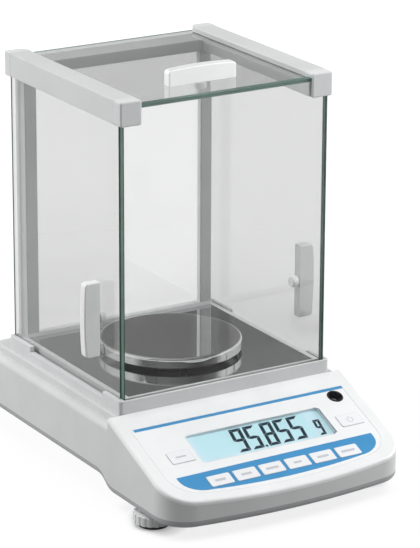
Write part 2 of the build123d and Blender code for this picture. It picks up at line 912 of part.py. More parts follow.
def beam_screw_spots():
    """Two screws under the beam's fixed end."""
    back = pan_y + beam_length / 2
    return [(0, back - beam_screw_near), (0, back - beam_screw_far)]


def pan_support():
    """Arm bolted over the beam's free end and the post that the pan sits on."""
    front = pan_y - beam_length / 2
    foot_z = beam_bottom_z + beam_height + load_gap
    arm_low = arm_top_z - arm_thickness
    foot = box(-beam_width / 2, beam_width / 2, front, front + beam_end, foot_z, arm_top_z)
    arm = box(-arm_width / 2, arm_width / 2, front, pan_y + arm_width / 2, arm_low, arm_top_z)
    arm = fillet(arm.edges().filter_by(Axis.Z), arm_corner)
    shoulder_z = pan_top_z - pan_sheet - pan_seat_depth
    post = upright(0, pan_y, arm_top_z, shoulder_z, post_radius)
    post += upright(0, pan_y, shoulder_z, pan_top_z - pan_sheet - hub_roof - fit, hub_bore)
    carrier = foot + arm + post
    for x, y in arm_screw_spots():
        carrier -= upright(x, y, foot_z + cut_over, big, screw_bore)
        carrier -= upright(x, y, arm_top_z - screw_head_height, big, screw_head + screw_sink)
    return carrier


def load_cell():
    """Single-point weighing beam with its binocular cut-out."""
    front = pan_y - beam_length / 2
    back = pan_y + beam_length / 2
    beam = box(-beam_width / 2, beam_width / 2, front, back, beam_bottom_z, beam_bottom_z + beam_height)
    z = beam_bottom_z + beam_height / 2
    slot = beam_bore_spacing
    for side in (-1, 1):
        beam -= along_x(-big, big, pan_y + side * slot, z, beam_bore)
    beam -= box(-big, big, pan_y - slot, pan_y + slot, z - beam_slot, z + beam_slot)
    for x, y in beam_screw_spots():
        beam -= upright(x, y, 0, beam_bottom_z + beam_screw_depth + cut_over, screw_bore)
    return beam


def load_cell_mount():
    """Block that stands the beam's fixed end off the tray floor."""
    back = pan_y + beam_length / 2
    floor = underside_rear_z + tray_floor
    block = box(-beam_width / 2, beam_width / 2, back - beam_end, back, floor, beam_bottom_z)
    for x, y in beam_screw_spots():
        block -= upright(x, y, 0, big, screw_bore)
    return block


def screw(x, y, head_z, tip_z, head_height):
    """Upright screw; the head lies below the shank, or above when the tip is lower."""
    neck = head_z + math.copysign(head_height, tip_z - head_z)
    head = upright(x, y, min(head_z, neck), max(head_z, neck), screw_head)
    return head + upright(x, y, min(neck, tip_z), max(neck, tip_z), screw_radius)


def housing_screws():
    """Screws that hold the housing to the tray, from below."""
    parts = []
    for x, y in housing_screw_spots():
        low = underside_z(y) + screw_sink
        parts.append(screw(x, y, low, low + housing_screw_length, screw_head_height - screw_sink))
    return Compound(children=parts)


def load_cell_screws():
    """Screws through the tray and the block into the beam."""
    low = underside_rear_z + seat_gap
    tip = beam_bottom_z + beam_screw_depth
    return Compound(children=[screw(x, y, low, tip, beam_screw_head) for x, y in beam_screw_spots()])


def arm_screws():
    """Screws in the arm over the beam's free end."""
    top = arm_top_z - seat_gap
    tip = beam_bottom_z + beam_height + load_gap + cut_over + seat_gap
    height = screw_head_height - seat_gap
    return Compound(children=[screw(x, y, top, tip, height) for x, y in arm_screw_spots()])


def main_board_posts():
    """Posts of the main board on the tray floor."""
    half = main_board_width / 2 - main_post_inset
    rows = (main_board_front + main_post_inset, rear_y - main_post_rear)
    return [(main_board_x + side * half, y) for side in (-1, 1) for y in rows]


def main_board():
    """Main circuit board beside the beam, with its larger components."""
    x0 = main_board_x - main_board_width / 2
    y0 = main_board_front
    top = board_top_z
    plate = box(x0, x0 + main_board_width, y0, main_board_rear, main_board_z, top)
    chip_front = y0 + chip_y
    plate += box(
        x0 + chip_x, x0 + chip_x + chip_width, chip_front, chip_front + chip_width, top, top + chip_height
    )
    for i in range(2):
        y = y0 + capacitor_y + i * capacitor_pitch
        plate += upright(x0 + capacitor_x, y, top, top + capacitor_height, capacitor_radius)
    for x, y in main_board_posts():
        plate -= upright(x, y, 0, big, board_screw_bore)
    return plate


def board_screws():
    """Screws of the main board and the display board."""
    parts = []
    head_top = board_top_z + board_screw_head_height
    for x, y in main_board_posts():
        shank = upright(x, y, board_top_z - board_screw_length, board_top_z, board_screw)
        parts.append(shank + upright(x, y, board_top_z, head_top, board_screw_head))
    low = -display_board_drop - board
    for x, v in display_screw_spots():
        shank = on_panel(x, v, low, -panel_thickness - board_screw - seat_gap, Circle(board_screw))
        head = on_panel(x, v, low - board_screw_head_height, low, Circle(board_screw_head))
        parts.append(shank + head)
    return Compound(children=parts)


def power_jack():
    """Barrel socket for the mains adapter's plug, in the rear wall."""
    mouth = rear_y - port_setback
    half = jack_width / 2
    tall = jack_height / 2
    body = box(jack_x - half, jack_x + half, mouth - jack_length, mouth, jack_z - tall, jack_z + tall)
    body -= along_y(jack_x, mouth - jack_depth, mouth + cut_over, jack_z, jack_bore)
    return body + along_y(jack_x, mouth - jack_depth - cut_over, mouth - jack_pin_setback, jack_z, jack_pin)


def serial_contacts():
    """Places of the nine contacts, five above four, from the socket's middle."""
    upper = [(i * serial_contact_pitch, serial_row_pitch / 2) for i in range(-2, 3)]
    lower = [((i + 0.5) * serial_contact_pitch, -serial_row_pitch / 2) for i in range(-2, 2)]
    return upper + lower


def serial_port():
    """Nine-way socket with its metal shell and flange."""
    inside = rear_y - wall
    mouth = rear_y - port_setback
    half = serial_flange_width / 2
    low = serial_z - serial_flange_height / 2
    body_rear = inside - serial_flange
    flange = box(serial_x - half, serial_x + half, body_rear, inside, low, low + serial_flange_height)
    half = serial_body_width / 2
    body = box(
        serial_x - half, serial_x + half, body_rear - serial_body_length, body_rear,
        low, serial_z + serial_body_top,
    )
    half = serial_shell_width / 2
    tall = serial_shell_height / 2
    narrow = half - serial_shell_slope
    shape = Polyline((-half, tall), (half, tall), (narrow, -tall), (-narrow, -tall), (-half, tall))
    shell = fillet(make_face(shape).vertices(), serial_shell_round)
    face = Plane(origin=(serial_x, body_rear, serial_z), x_dir=(-1, 0, 0), z_dir=(0, 1, 0))
    socket = extrude(face * shell, amount=mouth - body_rear)
    for x, z in serial_contacts():
        hole_y = mouth - serial_contact_depth
        socket -= along_y(serial_x + x, hole_y, rear_y + cut_over, serial_z + z, serial_contact_radius)
    return flange + body + socket


def foot_inserts():
    """Threaded bushes pressed into the tray's foot bosses."""
    parts = []
    for x, y in foot_spots():
        bush = upright(x, y, underside_z(y), insert_top_z, insert_radius)
        parts.append(bush - upright(x, y, 0, big, stud_radius + stud_clearance))
    return Compound(children=parts)


def foot_wheel(x, y):
    """Fluted thumb wheel with the stud above it and the pivot below it."""
    rim = Circle(wheel_radius)
    for i in range(flute_count):
        angle = 2 * math.pi * i / flute_count
        centre = wheel_radius + flute_setback
        rim -= Pos(centre * math.cos(angle), centre * math.sin(angle)) * Circle(flute_radius)
    wheel = extrude(Pos(x, y, wheel_bottom_z) * rim, amount=wheel_top_z - wheel_bottom_z)
    stud = upright(x, y, wheel_top_z, stud_top_z, stud_radius)
    return wheel + stud + upright(x, y, pad_floor + pivot_gap, wheel_bottom_z, pivot_radius)


def foot_pad(x, y):
    """Rubber pad that stays still on the bench while the wheel turns."""
    pad = upright(x, y, 0, pad_height, pad_radius)
    pad = chamfer(pad.edges().filter_by(GeomType.CIRCLE).sort_by(Axis.Z)[0], pad_edge)
    return pad - upright(x, y, pad_floor, big, pivot_radius + pivot_clearance)


def all_parts():
    """Every node by name."""
    parts = {
        "base_tray": base_tray(),
        "housing": housing(),
        "top_cover": top_cover(),
        "front_panel": front_panel(),
        "keypad_overlay": keypad_overlay(),
        "lcd_lens": lcd_lens(),
        "lcd_module": lcd_module(),
        "display_board": display_board(),
        "tact_switches": tact_switches(),
        "level_cup": level_cup(),
        "level_vial": level_vial(),
        "shield_frame": shield_frame(),
        "chamber_plate": chamber_plate(),
        "right_rail": right_rail(),
        "left_rail": mirrored(right_rail()),
        "rail_front_caps": Compound(children=[front_cap(), mirrored(front_cap())]),
        "rail_rear_caps": Compound(children=[rear_cap(), mirrored(rear_cap())]),
        "rear_bar": rear_bar(),
        "rear_post_right": rear_post(),
        "rear_post_left": mirrored(rear_post()),
        "front_glass": front_glass(),
        "rear_glass": rear_glass_block(0),
        "right_door_glass": side_glass(),
        "right_door_handle": on_right_door(handle()),
        "right_door_knob": on_right_door(knob()),
        "left_door_glass": mirrored(side_glass()),
        "left_door_handle": mirrored(on_right_door(handle())),
        "left_door_knob": mirrored(on_right_door(knob())),
        "top_door_glass": top_glass(),
        "top_door_handle": on_top_door(handle()),
        "top_door_knob": on_top_door(knob()),
        "pan": pan(),
        "pan_support": pan_support(),
        "arm_screws": arm_screws(),
        "load_cell": load_cell(),
        "load_cell_mount": load_cell_mount(),
        "load_cell_screws": load_cell_screws(),
        "main_board": main_board(),
        "board_screws": board_screws(),
        "power_jack": power_jack(),
        "serial_port": serial_port(),
        "housing_screws": housing_screws(),
        "foot_inserts": foot_inserts(),
    }
    for name, x, v, width, height in key_spots():
        parts[name] = key(x, v, width, height)
    for number, (x, y) in enumerate(foot_spots(), 1):
        parts["foot_wheel_%d" % number] = foot_wheel(x, y)
        parts["foot_pad_%d" % number] = foot_pad(x, y)
    return parts


os.makedirs("parts", exist_ok=True)
for name, shape in all_parts().items():
    export_step(shape, "parts/%s.step" % name)
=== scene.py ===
import json
import math
import bmesh
import bpy
from mathutils import Matrix, Vector
from mathutils.geometry import tessellate_polygon


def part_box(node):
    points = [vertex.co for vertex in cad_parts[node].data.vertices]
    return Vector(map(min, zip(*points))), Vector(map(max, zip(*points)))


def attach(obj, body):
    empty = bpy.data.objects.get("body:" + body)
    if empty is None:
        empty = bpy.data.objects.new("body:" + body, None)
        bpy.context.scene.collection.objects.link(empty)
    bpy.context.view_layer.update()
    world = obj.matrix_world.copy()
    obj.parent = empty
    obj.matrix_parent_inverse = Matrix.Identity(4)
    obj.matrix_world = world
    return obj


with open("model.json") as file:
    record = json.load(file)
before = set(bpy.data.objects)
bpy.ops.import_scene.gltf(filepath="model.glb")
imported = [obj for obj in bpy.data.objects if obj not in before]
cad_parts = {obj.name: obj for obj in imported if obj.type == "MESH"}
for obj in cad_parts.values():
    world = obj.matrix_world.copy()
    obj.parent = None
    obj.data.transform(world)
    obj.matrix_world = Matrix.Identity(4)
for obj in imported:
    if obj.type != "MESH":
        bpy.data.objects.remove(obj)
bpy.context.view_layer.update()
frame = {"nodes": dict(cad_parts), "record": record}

MM = 0.001
nodes = frame["nodes"]

# Camera, fitted to the photograph
CAMERA_PLACE = Vector((-1.1281, -1.8693, 0.8754))
CAMERA_YAW = math.radians(-31.47)
CAMERA_PITCH = math.radians(18.34)
CAMERA_ROLL = math.radians(0.28)
CAMERA_LENS = 196.4
CAMERA_SENSOR = 36.0


def place_camera():
    """Camera at the photograph's viewing angle."""
    right = Vector((math.cos(CAMERA_YAW), math.sin(CAMERA_YAW), 0))
    back = Vector(
        (
            math.sin(CAMERA_YAW) * math.cos(CAMERA_PITCH),
            -math.cos(CAMERA_YAW) * math.cos(CAMERA_PITCH),
            math.sin(CAMERA_PITCH),
        )
    )
    up = back.cross(right)
    c, s = math.cos(CAMERA_ROLL), math.sin(CAMERA_ROLL)
    rolled_right = c * right + s * up
    rolled_up = c * up - s * right
    data = bpy.data.cameras.new("camera")
    data.lens = CAMERA_LENS
    data.sensor_width = CAMERA_SENSOR
    data.clip_end = 20.0
    camera = bpy.data.objects.new("camera", data)
    bpy.context.scene.collection.objects.link(camera)
    axes = Matrix((rolled_right, rolled_up, back)).transposed()
    camera.matrix_world = Matrix.Translation(CAMERA_PLACE) @ axes.to_4x4()
    bpy.context.scene.camera = camera


# Materials


class Tree:
    """Node tree of a material or the world, with short ways to add nodes and link them."""

    def __init__(self, owner, output="OutputMaterial"):
        self.owner = owner
        owner.use_nodes = True
        self.tree = owner.node_tree
        self.tree.nodes.clear()
        self.output = self.add(output)

    def add(self, kind, **settings):
        """Adds a shader node with its settings."""
        node = self.tree.nodes.new("ShaderNode" + kind)
        for key, value in settings.items():
            setattr(node, key, value)
        return node

    def link(self, source, target):
        self.tree.links.new(source, target)

    def noise(self, scale, detail=3.0, stretch=(1, 1, 1)):
        """Noise in object space, scale in features per metre."""
        coords = self.add("TexCoord")
        mapping = self.add("Mapping")
        mapping.inputs["Scale"].default_value = stretch
        self.link(coords.outputs["Object"], mapping.inputs["Vector"])
        noise = self.add("TexNoise")
        noise.inputs["Scale"].default_value = scale
        noise.inputs["Detail"].default_value = detail
        self.link(mapping.outputs["Vector"], noise.inputs["Vector"])
        return noise.outputs["Fac"]

    def spread(self, value, low, high, start=0.3, end=0.7):
        """Maps a 0 to 1 value from start..end onto low..high."""
        node = self.add("MapRange")
        node.inputs["From Min"].default_value = start
        node.inputs["From Max"].default_value = end
        node.inputs["To Min"].default_value = low
        node.inputs["To Max"].default_value = high
        self.link(value, node.inputs["Value"])
        return node.outputs["Result"]

    def tones(self, value, dark, light, start=0.3, end=0.7):
        """A colour between dark and light by a 0 to 1 value."""
        ramp = self.add("ValToRGB")
        ramp.color_ramp.elements[0].position = start
        ramp.color_ramp.elements[0].color = (*dark, 1)
        ramp.color_ramp.elements[1].position = end
        ramp.color_ramp.elements[1].color = (*light, 1)
        self.link(value, ramp.inputs["Fac"])
        return ramp.outputs["Color"]

    def chosen(self, share, first, second):
        """First shader at share 0, second at share 1."""
        mix = self.add("MixShader")
        self.link(share, mix.inputs["Fac"])
        self.link(first, mix.inputs[1])
        self.link(second, mix.inputs[2])
        return mix.outputs["Shader"]

    def along(self, vector, axis):
        """How far a vector reaches along an axis."""
        node = self.add("VectorMath", operation="DOT_PRODUCT")
        node.inputs[1].default_value = axis
        self.link(vector, node.inputs[0])
        return node.outputs["Value"]

    def facing_along(self, axis, limit):
        """1 where the surface's own normal points along an axis by more than limit."""
        coords = self.add("TexCoord")
        over = self.add("Math", operation="GREATER_THAN")
        over.inputs[1].default_value = limit
        self.link(self.along(coords.outputs["Normal"], axis), over.inputs[0])
        return over.outputs["Value"]

    def larger(self, one, other):
        """The larger of two values."""
        node = self.add("Math", operation="MAXIMUM")
        self.link(one, node.inputs[0])
        self.link(other, node.inputs[1])
        return node.outputs["Value"]

    def product(self, first, *others):
        """Product of two or more values."""
        for other in others:
            node = self.add("Math", operation="MULTIPLY")
            self.link(first, node.inputs[0])
            self.link(other, node.inputs[1])
            first = node.outputs["Value"]
        return first

    def bump(self, value, depth):
        """Normal of a surface that a 0 to 1 value raises by up to depth, in metres."""
        node = self.add("Bump")
        node.inputs["Strength"].default_value = 1.0
        node.inputs["Distance"].default_value = depth
        self.link(value, node.inputs["Height"])
        return node.outputs["Normal"]

    def grazing_shine(self, least=0.04):
        """Share of light that a clear face mirrors, by the angle it is met at."""
        facing = self.add("LayerWeight")
        facing.inputs["Blend"].default_value = 0.5
        fifth = self.add("Math", operation="POWER")
        fifth.inputs[1].default_value = 5.0
        self.link(facing.outputs["Facing"], fifth.inputs[0])
        share = self.add("Math", operation="MULTIPLY_ADD")
        share.inputs[1].default_value = 1 - least
        share.inputs[2].default_value = least
        self.link(fifth.outputs["Value"], share.inputs[0])
        return share.outputs["Value"]

    def show(self, shader):
        """Puts a shader on the owner's surface."""
        self.link(shader, self.output.inputs["Surface"])
        return self.owner


def scaled(colour, factor):
    """Colour with each channel times factor."""
    return tuple(channel * factor for channel in colour)


def moulded(
    name, colour, roughness, grain=2600.0, depth=0.01 * MM, shade=0.035, metallic=0.0, glow=0.0
):
    """Moulded plastic or a satin coat: fine grain and faint clouding."""
    t = Tree(bpy.data.materials.new(name))
    p = t.add("BsdfPrincipled")
    clouds = t.noise(28.0, 4.0)
    fine = t.noise(grain, 2.0)
    shown = t.tones(clouds, scaled(colour, 1 - shade), scaled(colour, 1 + shade))
    t.link(shown, p.inputs["Base Color"])
    t.link(t.spread(fine, roughness - 0.05, roughness + 0.06), p.inputs["Roughness"])
    t.link(t.bump(fine, depth), p.inputs["Normal"])
    p.inputs["IOR"].default_value = 1.5
    p.inputs["Metallic"].default_value = metallic
    if glow:
        t.link(shown, p.inputs["Emission Color"])
        p.inputs["Emission Strength"].default_value = glow
    return t.show(p.outputs["BSDF"])


def painted_by_facing(name, colour, front, axis, roughness, glow=0.0):
    """Satin coat with another tone on the faces that look along axis, painted light or painted shade for
    how light falls on them; a glow here is painted light.
    """
    t = Tree(bpy.data.materials.new(name))
    p = t.add("BsdfPrincipled")
    clouds = t.noise(28.0, 4.0)
    fine = t.noise(1800.0, 2.0)
    tones = [t.tones(clouds, scaled(shade, 0.965), scaled(shade, 1.035)) for shade in (colour, front)]
    mix = t.add("Mix", data_type="RGBA")
    t.link(t.facing_along(axis, 0.7), mix.inputs[0])
    t.link(tones[0], mix.inputs[6])
    t.link(tones[1], mix.inputs[7])
    t.link(mix.outputs[2], p.inputs["Base Color"])
    if glow:
        t.link(mix.outputs[2], p.inputs["Emission Color"])
        p.inputs["Emission Strength"].default_value = glow
    t.link(t.spread(fine, roughness - 0.05, roughness + 0.06), p.inputs["Roughness"])
    return t.show(p.outputs["BSDF"])


def metal(name, colour, roughness, lines=(1, 1, 1), scale=900.0, depth=0.002 * MM, shade=0.05):
    """Metal with fine lines or grain left by its making."""
    t = Tree(bpy.data.materials.new(name))
    p = t.add("BsdfPrincipled")
    p.inputs["Metallic"].default_value = 1.0
    clouds = t.noise(18.0, 3.0)
    fine = t.noise(scale, 4.0, lines)
    t.link(t.tones(clouds, scaled(colour, 1 - shade), scaled(colour, 1 + shade)), p.inputs["Base Color"])
    t.link(t.spread(fine, roughness * 0.75, roughness * 1.3), p.inputs["Roughness"])
    if depth:
        t.link(t.bump(fine, depth), p.inputs["Normal"])
    return t.show(p.outputs["BSDF"])


def float_glass(name, axis, tint, edge_tones):
    """Clear pane with ground edges, painted a lighter grey where they face the rear, as painted light;
    axis leads through it.
    """
    t = Tree(bpy.data.materials.new(name))
    back = tuple(-component for component in axis)
    is_face = t.larger(t.facing_along(axis, 0.8), t.facing_along(back, 0.8))
    smear = t.noise(9.0, 5.0)
    # What camera and gloss see through is darker than what lamps get: painted shade
    clear = t.tones(smear, scaled(tint, 0.99), tint)
    pane = t.add("BsdfGlass")
    pane.inputs["Roughness"].default_value = 0.0
    pane.inputs["IOR"].default_value = GLASS_IOR
    t.link(clear, pane.inputs["Color"])
    through = t.add("BsdfTransparent")
    t.link(t.tones(smear, scaled(LAMP_TINT, 0.99), LAMP_TINT), through.inputs["Color"])
    path = t.add("LightPath")
    lamp_light = t.larger(path.outputs["Is Shadow Ray"], path.outputs["Is Diffuse Ray"])
    face = t.chosen(lamp_light, pane.outputs["BSDF"], through.outputs["BSDF"])
    streaks = t.noise(60.0, 4.0)
    grind = t.noise(1500.0, 2.0)
    edges = []
    for dark, light in (edge_tones, EDGE_REAR_PAINTED_LIGHT):
        edge = t.add("BsdfPrincipled")
        t.link(t.tones(streaks, dark, light), edge.inputs["Base Color"])
        t.link(t.spread(grind, 0.12, 0.3), edge.inputs["Roughness"])
        edges.append(edge.outputs["BSDF"])
    # Rear-facing edges take the lighter grey: painted light
    edge = t.chosen(t.facing_along((0, 1, 0), 0.3), *edges)
    return t.show(t.chosen(is_face, edge, face))


def clear_cover(name, tint):
    """Thin clear cover with a soft gloss."""
    t = Tree(bpy.data.materials.new(name))
    through = t.add("BsdfTransparent")
    haze = t.noise(40.0, 3.0)
    t.link(t.tones(haze, scaled(tint, 0.985), tint), through.inputs["Color"])
    shine = t.add("BsdfGlossy")
    t.link(t.spread(haze, 0.05, 0.12), shine.inputs["Roughness"])
    return t.show(t.chosen(t.grazing_shine(), through.outputs["BSDF"], shine.outputs["BSDF"]))


GLASS_IOR = 1.5
# What each face of a pane lets by from the lamps
LAMP_TINT = (0.965, 0.972, 0.968)
# Dark and light tone of the panes' ground edges, all of one green glass; the teal and pale ones, and the
# grey on rear-facing edges, are painted light
EDGE_GREEN = ((0.03, 0.085, 0.062), (0.06, 0.15, 0.11))
EDGE_TEAL = ((0.07, 0.24, 0.18), (0.12, 0.34, 0.26))
EDGE_PALE = ((0.13, 0.19, 0.165), (0.21, 0.29, 0.255))
EDGE_REAR_PAINTED_LIGHT = ((0.26, 0.30, 0.285), (0.36, 0.40, 0.385))

MATERIALS = {
    "grey_moulding": moulded("grey_moulding", (0.66, 0.67, 0.67), 0.42),
    "frame_moulding": moulded("frame_moulding", (0.67, 0.68, 0.685), 0.38),
    "tray_casting": moulded("tray_casting", (0.40, 0.41, 0.42), 0.55, grain=900.0, depth=0.03 * MM),
    "white_moulding": moulded("white_moulding", (0.86, 0.87, 0.875), 0.33),
    "keypad_film": moulded(
        "keypad_film", (0.87, 0.885, 0.89), 0.4, grain=4200.0, depth=0.005 * MM, shade=0.02
    ),
    "key_white": moulded(
        "key_white", (0.85, 0.86, 0.88), 0.38, grain=4200.0, depth=0.005 * MM, shade=0.02
    ),
    "clear_window": clear_cover("clear_window", (0.97, 0.985, 0.985)),
    "display_glass": moulded(
        "display_glass", (0.56, 0.79, 0.85), 0.3, grain=3000.0, depth=0.001 * MM, shade=0.02, glow=0.24
    ),
    "display_border": moulded(
        "display_border", (0.60, 0.78, 0.86), 0.3, grain=3000.0, depth=0.001 * MM, shade=0.02, glow=0.24
    ),
    "black_plastic": moulded("black_plastic", (0.018, 0.018, 0.02), 0.35),
    "circuit_board": moulded("circuit_board", (0.03, 0.14, 0.06), 0.35, grain=700.0, shade=0.25),
    "rail_aluminium": moulded(
        "rail_aluminium", (0.64, 0.655, 0.65), 0.42, grain=1800.0, depth=0.002 * MM, metallic=0.15
    ),
    # Posts and rear bar: the front faces' darker tone is painted shade
    "post_painted_shade_aluminium": painted_by_facing("post_painted_shade_aluminium", (0.73, 0.745, 0.74), (0.43, 0.44, 0.435), (0, -1, 0), 0.42),
    "handle_white": moulded("handle_white", (0.90, 0.905, 0.905), 0.28, grain=1500.0, depth=0.002 * MM),
    # Right handle: brighter front faces and a faint glow, painted light
    "right_handle_painted_light": painted_by_facing(
        "right_handle_painted_light", (0.82, 0.825, 0.825), (0.94, 0.945, 0.945), (0, -1, 0), 0.33, glow=0.05
    ),
    # Top handle: a glow over it, painted light, and darker top faces, painted shade
    "top_handle_painted_light": painted_by_facing(
        "top_handle_painted_light", (0.94, 0.945, 0.945), (0.62, 0.625, 0.625), (0, 0, 1), 0.33, glow=0.15
    ),
    "plate_steel": metal("plate_steel", (0.62, 0.63, 0.635), 0.04, scale=60.0, depth=0),
    "pan_steel": metal("pan_steel", (0.83, 0.835, 0.825), 0.05, scale=60.0, depth=0),
    "beam_aluminium": metal("beam_aluminium", (0.62, 0.63, 0.64), 0.3, (1, 12, 12)),
    "screw_steel": metal("screw_steel", (0.5, 0.5, 0.51), 0.28),
    "bush_brass": metal("bush_brass", (0.6, 0.45, 0.2), 0.25),
    "wheel_plastic": moulded("wheel_plastic", (0.84, 0.85, 0.85), 0.45),
    "pad_rubber": moulded("pad_rubber", (0.03, 0.03, 0.032), 0.7, grain=1400.0, depth=0.03 * MM),
    "print_blue": moulded(
        "print_blue", (0.06, 0.29, 0.57), 0.4, grain=4200.0, depth=0.004 * MM, shade=0.04
    ),
    "print_grey": moulded("print_grey", (0.56, 0.58, 0.62), 0.45, grain=4200.0, depth=0.004 * MM),
    "print_faint": moulded("print_faint", (0.72, 0.74, 0.77), 0.45, grain=4200.0, depth=0.004 * MM),
    # Slate for the dark line at the display window: painted shade
    "painted_shade_slate": moulded("painted_shade_slate", (0.16, 0.19, 0.28), 0.4, grain=4200.0, depth=0.004 * MM),
    "segment_ink": moulded(
        "segment_ink", (0.012, 0.028, 0.05), 0.4, grain=4200.0, depth=0.002 * MM, shade=0.1
    ),
}

# Way through each pane, how much light each of its two faces lets by to camera and gloss, and its edges'
# tones; the shares, below what lamps get and unlike between panes of one glass, are painted shade
PANES = {
    "front_glass": ((0, 1, 0), 0.93, EDGE_GREEN),
    "rear_glass": ((0, 1, 0), 0.945, EDGE_GREEN),
    "left_door_glass": ((1, 0, 0), 0.86, EDGE_GREEN),
    "right_door_glass": ((1, 0, 0), 0.87, EDGE_PALE),
    "top_door_glass": ((0, 0, 1), 0.85, EDGE_TEAL),
}
GLASS_COLOUR = (0.998, 1.0, 0.999)

# Nodes that look other than the rest of their slot; the handles' and posts' ones carry painted light and
# shade
OWN_MATERIALS = {
    "pan": "pan_steel",
    "chamber_plate": "plate_steel",
    "top_door_handle": "top_handle_painted_light",
    "right_door_handle": "right_handle_painted_light",
    "rear_post_left": "post_painted_shade_aluminium",
    "rear_post_right": "post_painted_shade_aluminium",
    "rear_bar": "post_painted_shade_aluminium",
}


def dress_nodes():
    """Gives every node its slot's material, its own one or, if it is a pane, its glass."""
    for part in frame["record"]["subparts"]:
        node, slot = part["node"], part["material_slot"]
        if node in PANES:
            axis, share, edge_tones = PANES[node]
            material = float_glass("glass_" + node, axis, scaled(GLASS_COLOUR, share), edge_tones)
        else:
            material = MATERIALS[OWN_MATERIALS.get(node, slot)]
        mesh = nodes[node].data
        mesh.materials.clear()
        mesh.materials.append(material)


# Prints and display

# The sloped panel, and how far above its face, or below it, the prints lie, as in the model
PANEL_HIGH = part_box("front_panel")[1]
PANEL_TOP = Vector((0, PANEL_HIGH.y, PANEL_HIGH.z))
PANEL_ANGLE = math.radians(21.85)
FILM_TOP = -0.1 * MM
KEY_TOP = 0.3 * MM
DISPLAY_FACE = -2.4 * MM
LEVEL_FLOOR = -4.9 * MM
PRINT = 0.04 * MM

# Prints in millimetres: x across and v down the slope, as the model places keys and window
HALF_WIDTH = 104.7
NOSE_BOW = 10.0
SEGMENTS = {"9": "abcdfg", "5": "acdfg", "8": "abcdefg"}
READING = "95855"
DIGITS_LEFT = -22.6
DIGITS_TOP = 36.2
DIGIT_PITCH = 12.1
DIGIT_WIDTH = 10.2
DIGIT_HEIGHT = 25.0
DIGIT_SLANT = 8.0
DIGIT_STROKE = 2.9
DIGIT_SPLIT = 0.3
POINT_ROOM = 2.5
POINT_OFF = 2.2
POINT_SIZE = 2.1
POINT_RISE = 1.0
UNIT_LEFT = 49.0
UNIT_TOP = 44.8
UNIT_WIDTH = 6.0
UNIT_HEIGHT = 17.0
UNIT_STROKE = 2.2
UNIT_SPLIT = 0.2
WINDOW_X = 2.1
WINDOW_V = 49.9
WINDOW_WIDTH = 118.0
WINDOW_HEIGHT = 30.5
WINDOW_CORNER = 3.0
RIM_OUT = 0.6
RIM_LINE = 0.45
# The display border's outer and inner edge: middle x and v, width, height and corner
BORDER_OUTER = (WINDOW_X - 1.9, WINDOW_V - 2.5, WINDOW_WIDTH - 1, WINDOW_HEIGHT, 2.5)
BORDER_INNER = (WINDOW_X - 3.4, WINDOW_V - 3.4, WINDOW_WIDTH - 21, WINDOW_HEIGHT - 6, 3.0)
# The dark line round the window's right corners, painted shade of the window's recess: x from its right
# edge, v in from its top or low one
CORNER_INNER = ((-3.4, 0.0), (-1.9, 0.4), (0.2, 2.6))
CORNER_OUTER_TOP = ((1.3, 1.2), (-2.4, -0.5))
CORNER_OUTER_LOW = ((-2.4, -0.7), (1.3, 1.0))
LINE_X = 1.25
LINE_V = 19.0
LINE_LENGTH = 186.5
LINE_WIDTH = 2.8
BAND_LEFT = -86.0
BAND_RIGHT = 87.7
BAND_TOP_LEFT = 74.6
BAND_TOP_RIGHT = 72.8
BAND_SHOULDER = 77.0
BAND_LOW = 96.9
BAND_CORNER = 21.0
KEY_ROW_X = 2.3
KEY_ROW_V = 85.62
KEY_PITCH = 22.6
KEY_WIDTH = 19.4
KEY_HEIGHT = 11.0
KEY_GAP = 0.25
KEY_CORNER = 1.45
LEFT_KEY_X = -71.0
LEFT_KEY_V = 54.5
POWER_KEY_X = 79.6
POWER_KEY_V = 54.6
SIDE_KEY_WIDTH = 19.5
SIDE_KEY_HEIGHT = 12.2
FRAME_OUT = 0.65
FRAME_LINE = 0.4
FRAME_CORNER = 1.9
BAR_LENGTHS = (9.0, 9.0, 11.0, 7.0, 10.0, 12.0)
BAR_HEIGHT = 2.3
LEFT_BAR_LENGTH = 9.0
LEFT_BAR_HEIGHT = 1.5
# The power key's ring, broken at its top, and the stroke in the break
SIGN_RADIUS = 2.8
SIGN_LINE = 0.6
SIGN_ARC = (-50, 230)
SIGN_STROKE = 3.0
SIGN_STROKE_RISE = 2.0
LEVEL_X = 82.8
LEVEL_V = 27.2
LEVEL_RING = 2.6
LEVEL_LINE = 0.35
BUBBLE_RADIUS = 1.1
BUBBLE_OFF = (-1.0, -1.2)


def panel_point(x, v, lift):
    """Point on the sloped panel from X and the way down the slope, in metres."""
    cos, sin = math.cos(PANEL_ANGLE), math.sin(PANEL_ANGLE)
    return Vector((x, PANEL_TOP.y - v * cos - lift * sin, PANEL_TOP.z - v * sin + lift * cos))


def printed(name, shapes, lift, material, body="base"):
    """Thin print on the panel; each shape is an outline of (x, v) in millimetres and its holes."""
    mesh = bpy.data.meshes.new(name)
    bm = bmesh.new()
    for loops in shapes:
        flat = [Vector((x, v, 0)) for loop in loops for x, v in loop]
        top = [bm.verts.new(panel_point(p.x * MM, p.y * MM, lift + PRINT)) for p in flat]
        low = [bm.verts.new(panel_point(p.x * MM, p.y * MM, lift)) for p in flat]
        for a, b, c in tessellate_polygon([[Vector((x, v, 0)) for x, v in loop] for loop in loops]):
            bm.faces.new((top[a], top[b], top[c]))
            bm.faces.new((low[c], low[b], low[a]))
        start = 0
        for loop in loops:
            for i in range(len(loop)):
                here, there = start + i, start + (i + 1) % len(loop)
                bm.faces.new((top[here], low[here], low[there], top[there]))
            start += len(loop)
    bmesh.ops.recalc_face_normals(bm, faces=bm.faces)
    bm.to_mesh(mesh)
    bm.free()
    mesh.materials.append(MATERIALS[material])
    piece = bpy.data.objects.new(name, mesh)
    bpy.context.scene.collection.objects.link(piece)
    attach(piece, body)


